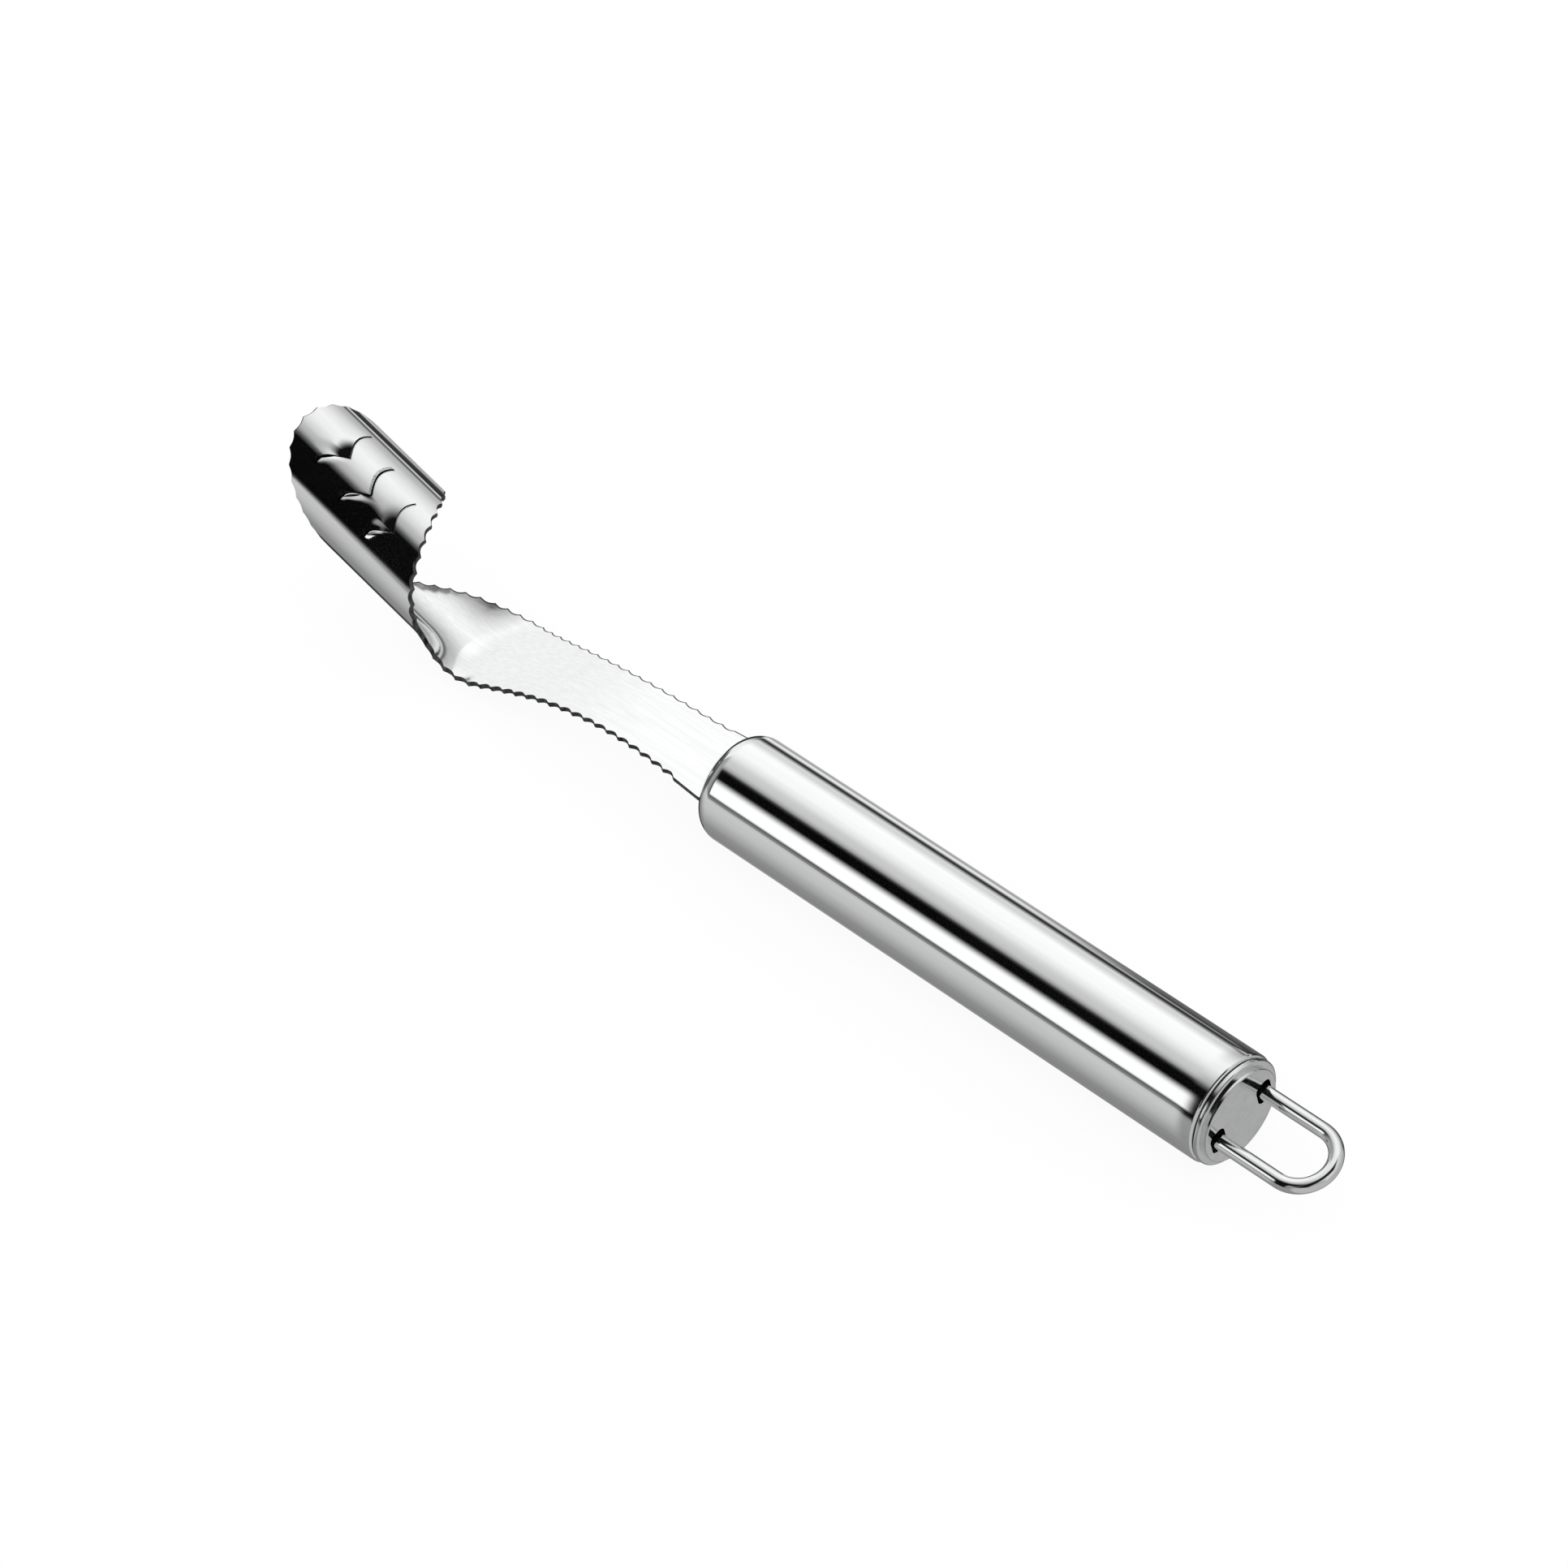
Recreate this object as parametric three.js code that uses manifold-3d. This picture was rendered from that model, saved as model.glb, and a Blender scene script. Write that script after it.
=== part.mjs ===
import * as THREE from 'three';
import { mergeVertices } from 'three/addons/utils/BufferGeometryUtils.js';
import ManifoldModule from 'manifold-3d';

// A chili corer: a round steel handle, a bowed strip blade that ends in a toothed leaf wound into a coring
// head, and a wire hanging loop that slides in the end cap. Millimetres. The handle axis is X, the tip points
// to +X, and the front end of the handle is at x = 0 until the whole tool is centred on its footprint.

const degree = Math.PI / 180;

// Handle tube
const handleDiameter = 19;
const handleLength = 106.1;
const handleWall = 1;
const handleFrontWall = 1.6;
const handleFrontRounding = 3.6;
const handleRimRounding = 0.7;
const handleSides = 40;

// Fits
const fitClearance = 0.3;
const wireClearance = 0.35;

// Blade sheet and strip. Along the blade, s starts at the front of the handle; t runs across the flat blank
const sheetThickness = 0.9;
const tangLength = 26;
const stripRise = 1.6;
const tangWidth = 11;
const shoulderLength = 1;
const waistWidth = 12;
const waistPlace = 22;
const stripEdgeRadius = 213;
const plainLength = 5.8;
const straightLength = 14;
const bowLength = 30;
const bowAngle = 18;
const dropLength = 13;
const bendLength = 8;

// Coring head: a leaf wound into a tube. Places are ahead of the bend, angles run round from the underside
const headPitch = 18.6;
const headDiameter = 20.2;
const rollLead = 12.6;
const rollLength = 12;
const leafLead = 11;
const rearRoot = { place: 2.6, angle: 76 };
const rearCrest = { place: 15.2, angle: 223 };
const frontRoot = { place: 12, angle: 0 };
const frontShoulder = { place: 30.9, angle: 93 };
const frontPeak = { place: 39.8, angle: 171 };
const leafTip = { place: 23.3, angle: 272 };
const leafTipWidth = 3.5;

// Serrated edges: the far edge and the front of the leaf are cut less deep than the near edge
const toothPitch = 2.75;
const toothDepth = 0.55;
const farToothDepth = 0.4;
const stepsPerTooth = 4;

// Slit teeth on the leaf, from the one nearest the tip
const slitCount = 3;
const slitPlace = 29;
const slitAngle = 167;
const slitStep = 7.4;
const slitTurn = 11;
const slitKerf = 0.45;
const slitShortLeg = 4.4;
const slitShortRise = 3.9;
const slitLongLeg = 6;
const slitLongRise = 2;
const pressDepth = 1.4;
const lipDepth = 0.5;
const pressSpread = 1.7;

// Tang plug
const plugSetback = 2;
const tangBehindPlug = 2.4;

// End cap: a flange on the rim of the tube, a raised face and a skirt
const capFlange = 0.8;
const capFlangeInset = 0.3;
const capFlangeRounding = 0.4;
const capProud = 0.8;
const capFaceInset = 1.1;
const capEdgeRounding = 0.2;
const capSkirtLength = 6;
const capSkirtWall = 0.7;
const slotRoom = 1;

// Hanging loop
const wireDiameter = 2.5;
const loopSpacing = 10.7;
const loopReach = 20.2;
const loopRoll = -13;
const footLength = 1.4;
const footBend = 2.2;
const footGap = 0.5;

const handleRadius = handleDiameter / 2;
const boreRadius = handleRadius - handleWall;
const rollRadius = (headDiameter - sheetThickness) / 2;
const wireRadius = wireDiameter / 2;
const slotHeight = sheetThickness + 2 * fitClearance;
const plugLength = tangLength - handleFrontWall - plugSetback - tangBehindPlug;
const flangeFront = -handleLength - fitClearance;

const steel = (name, color, roughness) =>
  new THREE.MeshStandardMaterial({ name, color, roughness, metalness: 1 });
const polishedSteel = steel('polished_steel', 0xc9ccd0, 0.12);
const satinSteel = steel('satin_steel', 0xd6d8da, 0.32);
const dullSteel = steel('dull_steel', 0x8f9296, 0.45);
const wireSteel = steel('wire_steel', 0xbfc2c6, 0.18);

const wasm = await ManifoldModule();
wasm.setup();

function toManifold(geometry) {
  const bare = geometry.clone();
  bare.deleteAttribute('normal');
  bare.deleteAttribute('uv');
  const welded = mergeVertices(bare, 1e-5);
  return new wasm.Manifold(new wasm.Mesh({
    numProp: 3,
    vertProperties: new Float32Array(welded.attributes.position.array),
    triVerts: new Uint32Array(welded.index.array),
  }));
}

function fromManifold(solid) {
  const mesh = solid.getMesh();
  const geometry = new THREE.BufferGeometry();
  geometry.setAttribute('position', new THREE.BufferAttribute(mesh.vertProperties, 3));
  geometry.setIndex(new THREE.BufferAttribute(mesh.triVerts, 1));
  geometry.computeVertexNormals();
  return geometry;
}

function subtract(geometry, cutters) {
  let solid = toManifold(geometry);
  for (const cutter of cutters) {
    solid = solid.subtract(toManifold(cutter));
  }
  return fromManifold(solid);
}

// Turns a profile of (radius, x) points round the X axis, with one flat side facing straight down.
function turnedAboutX(profile, sides) {
  const geometry = new THREE.LatheGeometry(profile, sides);
  geometry.rotateZ(-Math.PI / 2);
  geometry.rotateX(Math.PI / sides);
  return geometry;
}

// Points of a quarter round between two corners of a profile.
function roundedCorner(centreRadius, centreX, radius, fromAngle, toAngle, steps) {
  const points = [];
  for (let i = 0; i <= steps; i += 1) {
    const angle = fromAngle + ((toAngle - fromAngle) * i) / steps;
    points.push(new THREE.Vector2(
      centreRadius + radius * Math.cos(angle),
      centreX + radius * Math.sin(angle),
    ));
  }
  return points;
}

function boxAt(sizeX, sizeY, sizeZ, x, y, z) {
  const geometry = new THREE.BoxGeometry(sizeX, sizeY, sizeZ);
  geometry.translate(x, y, z);
  return geometry;
}

// Half width of the strip at the roots of its teeth: a shallow concave arc with a waist along it.
function stripHalfWidth(s) {
  const place = s - waistPlace;
  return waistWidth / 2 + (place * place) / (2 * stripEdgeRadius);
}

const mouthWidth = 2 * (stripHalfWidth(0) + toothDepth);
const plugFront = -handleFrontWall - plugSetback;

function handleTube() {
  const innerRounding = Math.max(handleFrontRounding - handleFrontWall, 0.5);
  const profile = [
    new THREE.Vector2(0, 0),
    ...roundedCorner(
      handleRadius - handleFrontRounding, -handleFrontRounding, handleFrontRounding, Math.PI / 2, 0, 6,
    ),
    ...roundedCorner(
      handleRadius - handleRimRounding, handleRimRounding - handleLength, handleRimRounding,
      0, -Math.PI / 2, 3,
    ),
    new THREE.Vector2(boreRadius, -handleLength),
    ...roundedCorner(
      boreRadius - innerRounding, -handleFrontWall - innerRounding, innerRounding, 0, Math.PI / 2, 3,
    ),
    new THREE.Vector2(0, -handleFrontWall),
  ].reverse();
  const slotDepth = handleFrontRounding + handleFrontWall;
  const slot = boxAt(
    2 * slotDepth, mouthWidth + 2 * fitClearance, slotHeight, 0, 0, stripRise,
  );
  return subtract(turnedAboutX(profile, handleSides), [slot]);
}

function tangPlug() {
  const radius = boreRadius - fitClearance;
  const profile = [
    new THREE.Vector2(0, plugFront - plugLength),
    new THREE.Vector2(radius, plugFront - plugLength),
    new THREE.Vector2(radius, plugFront),
    new THREE.Vector2(0, plugFront),
  ];
  const slot = boxAt(
    2 * plugLength, tangWidth + 2 * fitClearance, slotHeight, plugFront - plugLength / 2, 0, stripRise,
  );
  return subtract(turnedAboutX(profile, handleSides), [slot]);
}

// The blade's centre line in side view: straight out of the handle, bowed down, then bent up to the head.
const spine = [
  { length: straightLength, turn: 0 },
  { length: bowLength, turn: -bowAngle * degree },
  { length: dropLength, turn: 0 },
  { length: bendLength, turn: (bowAngle + headPitch) * degree },
];

const headStart = spine.reduce((sum, { length }) => sum + length, 0);

function spinePose(s) {
  const pose = { x: 0, z: stripRise, pitch: 0 };
  let left = s;
  const advance = (length, turn) => {
    const chord = Math.abs(turn) < 1e-9 ? length : (2 * length * Math.sin(turn / 2)) / turn;
    pose.x += chord * Math.cos(pose.pitch + turn / 2);
    pose.z += chord * Math.sin(pose.pitch + turn / 2);
    pose.pitch += turn;
  };
  for (const { length, turn } of spine) {
    const part = Math.min(left, length);
    advance(part, (turn * part) / length);
    left -= part;
    if (left <= 0) {
      return pose;
    }
  }
  advance(left, 0);
  return pose;
}

// Curls the flat blank: a point at (s, t) and the side that faces the inside of the roll.
function rolled(s, t) {
  const pose = spinePose(s);
  const rollStart = headStart - rollLead;
  const curl = THREE.MathUtils.smoothstep(s, rollStart, rollStart + rollLength) / rollRadius;
  const angle = curl * t;
  const across = curl < 1e-6 ? t : Math.sin(angle) / curl;
  const lift = curl < 1e-6 ? 0 : (1 - Math.cos(angle)) / curl;
  const upX = -Math.sin(pose.pitch);
  const upZ = Math.cos(pose.pitch);
  return {
    point: new THREE.Vector3(pose.x + upX * lift, across, pose.z + upZ * lift),
    inward: new THREE.Vector3(
      upX * Math.cos(angle), -Math.sin(angle), upZ * Math.cos(angle),
    ),
  };
}

// How far a scalloped edge stands out at a step: pointed tips with round hollows between them.
function scallop(step, steps, depth) {
  return toothDepth - depth * Math.sin((Math.PI * (step % steps)) / steps);
}

// The sheet's middle surface is gathered here as points on the blank, lifts off it and triangles.
class Sheet {
  constructor() {
    this.points = [];
    this.triangles = [];
  }

  add(s, t, lift = 0) {
    const { point, inward } = rolled(s, t);
    point.addScaledVector(inward, -lift);
    this.points.push({ point, inward });
    return this.points.length - 1;
  }

  // Fills the band between two rows of points, which may differ in number.
  bridge(first, second) {
    let i = 0;
    let j = 0;
    while (i < first.length - 1 || j < second.length - 1) {
      const nextFirst = i < first.length - 1 ? first[i + 1].at : Infinity;
      const nextSecond = j < second.length - 1 ? second[j + 1].at : Infinity;
      if (nextFirst <= nextSecond) {
        this.triangles.push([first[i].id, first[i + 1].id, second[j].id]);
        i += 1;
      } else {
        this.triangles.push([first[i].id, second[j + 1].id, second[j].id]);
        j += 1;
      }
    }
  }

  // Gives the surface its thickness and closes every free edge with a wall.
  thicken(thickness) {
    const half = thickness / 2;
    const count = this.points.length;
    const positions = [];
    for (const side of [1, -1]) {
      for (const { point, inward } of this.points) {
        positions.push(...point.clone().addScaledVector(inward, side * half).toArray());
      }
    }
    const edges = new Set();
    for (const [a, b, c] of this.triangles) {
      edges.add(`${a},${b}`).add(`${b},${c}`).add(`${c},${a}`);
    }
    const index = [];
    for (const [a, b, c] of this.triangles) {
      index.push(a, b, c, c + count, b + count, a + count);
    }
    for (const edge of edges) {
      const [a, b] = edge.split(',').map(Number);
      if (!edges.has(`${b},${a}`)) {
        index.push(a, a + count, b, b, a + count, b + count);
      }
    }
    const geometry = new THREE.BufferGeometry();
    geometry.setAttribute('position', new THREE.Float32BufferAttribute(positions, 3));
    geometry.setIndex(index);
    geometry.computeVertexNormals();
    return geometry;
  }
}

const arcLength = (angle) => angle * degree * rollRadius;
const onBlank = ({ place, angle }) => new THREE.Vector2(headStart + place, arcLength(angle));
const leafStart = headStart - leafLead;

// A blank edge that leaves one point in a direction and arrives at the next in another.
function easeTo(path, from, leaving, to, arriving) {
  const pull = from.distanceTo(to) / 3;
  const first = leaving.clone().setLength(pull).add(from);
  const second = arriving.clone().setLength(-pull).add(to);
  path.bezierCurveTo(first.x, first.y, second.x, second.y, to.x, to.y);
}

// The leaf's rear edge carries on from the strip's near edge, and its front edge from the far edge.
function leafEdge(side) {
  const slope = (leafStart - waistPlace) / stripEdgeRadius;
  const start = new THREE.Vector2(leafStart, side * stripHalfWidth(leafStart));
  const leaving = new THREE.Vector2(1, side * slope);
  const tip = onBlank(leafTip);
  const path = new THREE.Path();
  path.moveTo(start.x, start.y);
  if (side > 0) {
    const root = onBlank(rearRoot);
    const crest = onBlank(rearCrest);
    const sweep = crest.clone().sub(root);
    easeTo(path, start, leaving, root, sweep);
    easeTo(path, root, sweep, crest, sweep);
    easeTo(path, crest, sweep, tip.clone().setX(tip.x - leafTipWidth / 2), sweep);
    return path;
  }
  const root = onBlank(frontRoot);
  const shoulder = onBlank(frontShoulder);
  const peak = onBlank(frontPeak);
  const sweep = shoulder.clone().sub(root);
  const acrossBlank = new THREE.Vector2(0, 1);
  easeTo(path, start, leaving, root, sweep);
  path.lineTo(shoulder.x, shoulder.y);
  easeTo(path, shoulder, sweep, peak, acrossBlank);
  const end = tip.clone().setX(tip.x + leafTipWidth / 2);
  easeTo(path, peak, acrossBlank, end, new THREE.Vector2(-1, 0.6));
  return path;
}

const nearLeaf = leafEdge(1);
const farLeaf = leafEdge(-1);

// Points along an edge, with their scallops standing out from it, from one end of a path to the other.
function scalloped(path, side, from, to) {
  const teeth = Math.max(1, Math.round(path.getLength() / toothPitch));
  const steps = teeth * stepsPerTooth;
  const depth = side > 0 ? toothDepth : farToothDepth;
  const points = path.getSpacedPoints(steps);
  return points.map((point, i) => {
    const before = points[Math.max(i - 1, 0)];
    const after = points[Math.min(i + 1, steps)];
    const outward = new THREE.Vector2(before.y - after.y, after.x - before.x).setLength(side);
    const place = point.clone().addScaledVector(outward, scallop(i, stepsPerTooth, depth));
    return { at: from + ((to - from) * i) / steps, place };
  });
}

// The plain end of the strip: a tang in the plug, then shoulders that stop on the plug's front.
const shoulderStart = plugFront + fitClearance;
const plainStations = [
  { s: -tangLength, half: tangWidth / 2 },
  { s: shoulderStart, half: tangWidth / 2 },
  { s: shoulderStart + shoulderLength, half: mouthWidth / 2 },
  { s: 0, half: mouthWidth / 2 },
];

// One whole edge of the blade: plain beside the handle, then scalloped to the tip of the leaf.
function bladeEdge(sheet, side) {
  const strip = new THREE.Path();
  const middle = (plainLength + leafStart) / 2;
  const slope = (plainLength - waistPlace) / stripEdgeRadius;
  strip.moveTo(plainLength, side * stripHalfWidth(plainLength));
  strip.quadraticCurveTo(
    middle, side * (stripHalfWidth(plainLength) + slope * (middle - plainLength)),
    leafStart, side * stripHalfWidth(leafStart),
  );
  const plain = plainStations.map(({ s, half }) => {
    const place = new THREE.Vector2(s, side * half);
    return { at: s, place };
  });
  const toothed = [
    ...scalloped(strip, side, plainLength, leafStart).slice(0, -1),
    ...scalloped(side > 0 ? nearLeaf : farLeaf, side, leafStart, leafStart + 1),
  ];
  return [...plain, ...toothed].map(({ at, place }) => ({ at, id: sheet.add(place.x, place.y) }));
}

// The chevron of a slit: how far it runs forward of its point, at a distance round the roll from there.
function slitRise(around) {
  const leg = around < 0 ? slitShortLeg : slitLongLeg;
  const rise = around < 0 ? slitShortRise : slitLongRise;
  return rise * Math.sin((Math.PI / 2) * Math.min(1, Math.abs(around) / (0.75 * leg)));
}

// The slits in the order that a row meets them, from the leaf's rear edge.
const slits = Array.from({ length: slitCount }, (_, k) => {
  const fromTip = slitCount - 1 - k;
  return {
    s: headStart + slitPlace - slitStep * fromTip,
    t: arcLength(slitAngle - slitTurn * fromTip),
    turnedIn: fromTip % 2 === 0,
  };
});

const insideSlit = (around) => around > -slitShortLeg && around < slitLongLeg;

// Where a row of the leaf crosses a slit's line, as a share of the row.
function slitCrossing(slit, near, far) {
  let share = 0.5;
  let around = 0;
  for (let i = 0; i < 8; i += 1) {
    around = near.y + (far.y - near.y) * share - slit.t;
    const along = slitRise(THREE.MathUtils.clamp(around, -slitShortLeg, slitLongLeg));
    share = (slit.s + along - near.x) / (far.x - near.x);
  }
  return { share, around };
}

// How far the metal beside a slit stands off the roll. Behind the short leg it is pressed in, to a lip or to
// a pocket in turn, and ahead of the long leg it is pressed in where the short leg has a lip.
function slitPress(slit, around, forwardSide) {
  if (!insideSlit(around)) {
    return 0;
  }
  const shortShare = around < 0 ? Math.sin((Math.PI * -around) / slitShortLeg) ** 2 : 0;
  const longShare = around > 0 ? Math.sin((Math.PI * around) / slitLongLeg) ** 2 : 0;
  if (forwardSide) {
    return slit.turnedIn ? -pressDepth * longShare : 0;
  }
  return -(slit.turnedIn ? lipDepth : pressDepth) * shortShare;
}

const border = 0.05;
const plainShares = [border, 0.2, 0.35, 0.5, 0.65, 0.8, 1 - border];
const stepsPerBand = 3;

// A row across the blade where no slit is near, from the near edge to the far edge.
function plainRow(sheet, near, far) {
  return plainShares.map((at) => {
    const place = near.clone().lerp(far, at);
    return { at, id: sheet.add(place.x, place.y) };
  });
}

// A row that passes the slits, as bands of points between them. A cut slit has a point on either side.
function slitRow(sheet, near, far) {
  const length = far.x - near.x;
  const put = (share, press) => {
    const place = near.clone().lerp(far, share);
    return sheet.add(place.x, place.y, press);
  };
  const bands = [];
  let start = { at: border, id: put(border, 0), press: 0 };
  for (let k = 0; k <= slits.length; k += 1) {
    const slit = slits[k];
    const crossing = slit ? slitCrossing(slit, near, far) : { share: 1 - border, around: Infinity };
    const cut = insideSlit(crossing.around);
    const halfKerf = cut ? slitKerf / 2 / length : 0;
    const endPress = cut ? slitPress(slit, crossing.around, false) : 0;
    const band = [{ at: start.at, id: start.id }];
    for (let i = 1; i < stepsPerBand; i += 1) {
      const at = THREE.MathUtils.lerp(start.at, crossing.share, i / stepsPerBand);
      const fromStart = ((at - start.at) * length) / pressSpread;
      const fromEnd = ((crossing.share - at) * length) / pressSpread;
      const press = start.press * Math.exp(-fromStart * fromStart) + endPress * Math.exp(-fromEnd * fromEnd);
      band.push({ at, id: put(at, press) });
    }
    const endId = put(crossing.share - halfKerf, endPress);
    band.push({ at: crossing.share, id: endId });
    bands.push(band);
    const startPress = cut ? slitPress(slit, crossing.around, true) : 0;
    const startId = cut ? put(crossing.share + halfKerf, startPress) : endId;
    start = { at: crossing.share, id: startId, press: startPress };
  }
  return bands;
}

// The share of a leaf edge's length at which it reaches a distance round the roll.
function shareAround(path, t) {
  let low = 0;
  let high = 1;
  for (let i = 0; i < 40; i += 1) {
    const half = (low + high) / 2;
    if (path.getPointAt(half).y < t) {
      low = half;
    } else {
      high = half;
    }
  }
  return high;
}

const stripRows = 26;
const leafRows = 90;

// Every row of the blade with its ends on the plain outline, from the tang to the tip of the leaf.
function bladeRows(sheet) {
  const stations = [...plainStations];
  for (let i = 0; i < stripRows; i += 1) {
    const s = THREE.MathUtils.lerp(plainLength, leafStart, i / stripRows);
    stations.push({ s, half: stripHalfWidth(s) });
  }
  const slitFrom = Math.min(...slits.map((slit) => slit.t)) - slitShortLeg - toothPitch / 2;
  const slitTo = Math.max(...slits.map((slit) => slit.t)) + slitLongLeg + toothPitch / 2;
  const levelFrom = shareAround(nearLeaf, slitFrom);
  const farLevelFrom = shareAround(farLeaf, slitFrom);
  const rows = stations.map(({ s, half }) => {
    const row = plainRow(sheet, new THREE.Vector2(s, half), new THREE.Vector2(s, -half));
    return { nearAt: s, farAt: s, bands: [row] };
  });
  for (let i = 0; i <= leafRows; i += 1) {
    const nearShare = i / leafRows;
    const near = nearLeaf.getPointAt(nearShare);
    const level = nearShare >= levelFrom;
    const farShare = level ? shareAround(farLeaf, near.y) : (farLevelFrom * nearShare) / levelFrom;
    const far = farLeaf.getPointAt(i === leafRows ? 1 : farShare);
    const besideSlits = near.y > slitFrom && near.y < slitTo;
    rows.push({
      nearAt: leafStart + nearShare,
      farAt: leafStart + (i === leafRows ? 1 : farShare),
      bands: besideSlits ? slitRow(sheet, near, far) : [plainRow(sheet, near, far)],
    });
  }
  return rows;
}

// The bands of an uncut row as one run of points.
function wholeRow({ bands }) {
  return bands.flatMap((band, k) => (k === 0 ? band : band.slice(1)));
}

function bladeSheet() {
  const sheet = new Sheet();
  const rows = bladeRows(sheet);
  for (let i = 1; i < rows.length; i += 1) {
    const before = rows[i - 1];
    const after = rows[i];
    if (before.bands.length === after.bands.length) {
      after.bands.forEach((band, k) => sheet.bridge(before.bands[k], band));
    } else {
      sheet.bridge(wholeRow(before), wholeRow(after));
    }
  }
  const nearBorder = rows.map(({ nearAt, bands }) => ({ at: nearAt, id: bands[0][0].id }));
  const farBorder = rows.map(({ farAt, bands }) => ({ at: farAt, id: bands.at(-1).at(-1).id }));
  sheet.bridge(nearBorder, bladeEdge(sheet, 1));
  sheet.bridge(bladeEdge(sheet, -1), farBorder);
  return sheet.thicken(sheetThickness);
}

// The end cap in its own place: a raised face on a flange, and a skirt that goes into the bore.
function endCap() {
  const flangeRadius = handleRadius - capFlangeInset;
  const faceRadius = flangeRadius - capFaceInset;
  const skirtRadius = boreRadius - fitClearance;
  const innerRadius = skirtRadius - capSkirtWall;
  const flangeRear = flangeFront - capFlange;
  const face = flangeRear - capProud;
  const skirtFront = flangeFront + capSkirtLength;
  const profile = [
    new THREE.Vector2(0, face),
    ...roundedCorner(
      faceRadius - capEdgeRounding, face + capEdgeRounding, capEdgeRounding, -Math.PI / 2, 0, 3,
    ),
    new THREE.Vector2(faceRadius, flangeRear),
    ...roundedCorner(
      flangeRadius - capFlangeRounding, flangeRear + capFlangeRounding, capFlangeRounding,
      -Math.PI / 2, 0, 3,
    ),
    new THREE.Vector2(flangeRadius, flangeFront),
    new THREE.Vector2(skirtRadius, flangeFront),
    new THREE.Vector2(skirtRadius, skirtFront),
    new THREE.Vector2(innerRadius, skirtFront),
    new THREE.Vector2(innerRadius, flangeFront),
    new THREE.Vector2(0, flangeFront),
  ];
  const slotWidth = wireDiameter + 2 * wireClearance;
  const slotLength = wireDiameter + 2 * slotRoom;
  const slots = [-1, 1].map((side) => boxAt(
    4 * (capFlange + capProud), slotWidth, slotLength, flangeRear, (side * loopSpacing) / 2, 0,
  ));
  return subtract(turnedAboutX(profile, handleSides), slots);
}

const straight = (from, to) => new THREE.LineCurve3(from, to);

// A quarter circle that leaves and arrives towards one corner.
function quarterTurn(from, corner, to) {
  const handle = 0.5523;
  const first = from.clone().lerp(corner, handle);
  const second = to.clone().lerp(corner, handle);
  return new THREE.CubicBezierCurve3(from, first, second, to);
}

// The hanging loop: a U of round wire whose two feet hook inwards behind the end cap.
function hangingLoop() {
  const half = loopSpacing / 2;
  const footX = flangeFront + footGap + wireRadius;
  const legX = footX - footBend;
  const crownX = -handleLength - loopReach + wireRadius + half;
  const footY = half - footBend;
  const at = (x, y) => new THREE.Vector3(x, y, 0);
  const path = new THREE.CurvePath();
  path.add(straight(at(footX, footY - footLength), at(footX, footY)));
  path.add(quarterTurn(at(footX, footY), at(footX, half), at(legX, half)));
  path.add(straight(at(legX, half), at(crownX, half)));
  path.add(quarterTurn(at(crownX, half), at(crownX - half, half), at(crownX - half, 0)));
  path.add(quarterTurn(at(crownX - half, 0), at(crownX - half, -half), at(crownX, -half)));
  path.add(straight(at(crownX, -half), at(legX, -half)));
  path.add(quarterTurn(at(legX, -half), at(footX, -half), at(footX, -footY)));
  path.add(straight(at(footX, -footY), at(footX, footLength - footY)));
  const section = new THREE.Shape();
  section.absarc(0, 0, wireRadius, 0, 2 * Math.PI);
  return new THREE.ExtrudeGeometry(section, {
    steps: 60, extrudePath: path, curveSegments: 6, bevelEnabled: false,
  });
}

function named(name, geometry, material) {
  const mesh = new THREE.Mesh(geometry, material);
  mesh.name = name;
  return mesh;
}

const tool = new THREE.Group();
tool.add(named('handle_tube', handleTube(), polishedSteel));
tool.add(named('tang_plug', tangPlug(), dullSteel));
tool.add(named('blade', bladeSheet(), satinSteel));

const rearEnd = new THREE.Group();
rearEnd.rotation.x = loopRoll * degree;
rearEnd.add(named('end_cap', endCap(), polishedSteel));
rearEnd.add(named('hanging_loop', hangingLoop(), wireSteel));
tool.add(rearEnd);

// The tool stands on z = 0 with the middle of its footprint at the origin.
tool.updateMatrixWorld(true);
const extent = new THREE.Box3().setFromObject(tool, true);
const middle = extent.getCenter(new THREE.Vector3());
tool.position.set(-middle.x, -middle.y, -extent.min.z);

const corer = new THREE.Group();
corer.add(tool);

export default corer;
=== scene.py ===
import math

import bmesh
import bpy
from mathutils import Matrix, Vector


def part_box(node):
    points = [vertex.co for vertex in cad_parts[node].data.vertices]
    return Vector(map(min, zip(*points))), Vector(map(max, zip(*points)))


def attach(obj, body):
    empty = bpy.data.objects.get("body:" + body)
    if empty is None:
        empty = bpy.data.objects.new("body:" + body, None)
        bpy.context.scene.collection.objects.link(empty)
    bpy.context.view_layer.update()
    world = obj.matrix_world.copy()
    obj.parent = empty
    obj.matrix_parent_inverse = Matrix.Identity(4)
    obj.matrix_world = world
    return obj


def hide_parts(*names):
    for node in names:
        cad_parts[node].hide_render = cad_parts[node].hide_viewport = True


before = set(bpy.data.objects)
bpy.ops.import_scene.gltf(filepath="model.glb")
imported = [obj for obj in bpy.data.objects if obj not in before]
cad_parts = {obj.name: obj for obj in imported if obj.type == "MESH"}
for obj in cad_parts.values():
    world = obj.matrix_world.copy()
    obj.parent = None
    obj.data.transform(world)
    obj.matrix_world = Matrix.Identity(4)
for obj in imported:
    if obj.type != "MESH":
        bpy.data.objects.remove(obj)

# Every piece is drawn in millimetres, with +X along the handle to the tip and 0 at its front
mm = 0.001
degree = math.pi / 180
tiny = 1e-6
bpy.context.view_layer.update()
handleLow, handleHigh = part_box("handle_tube")
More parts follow.
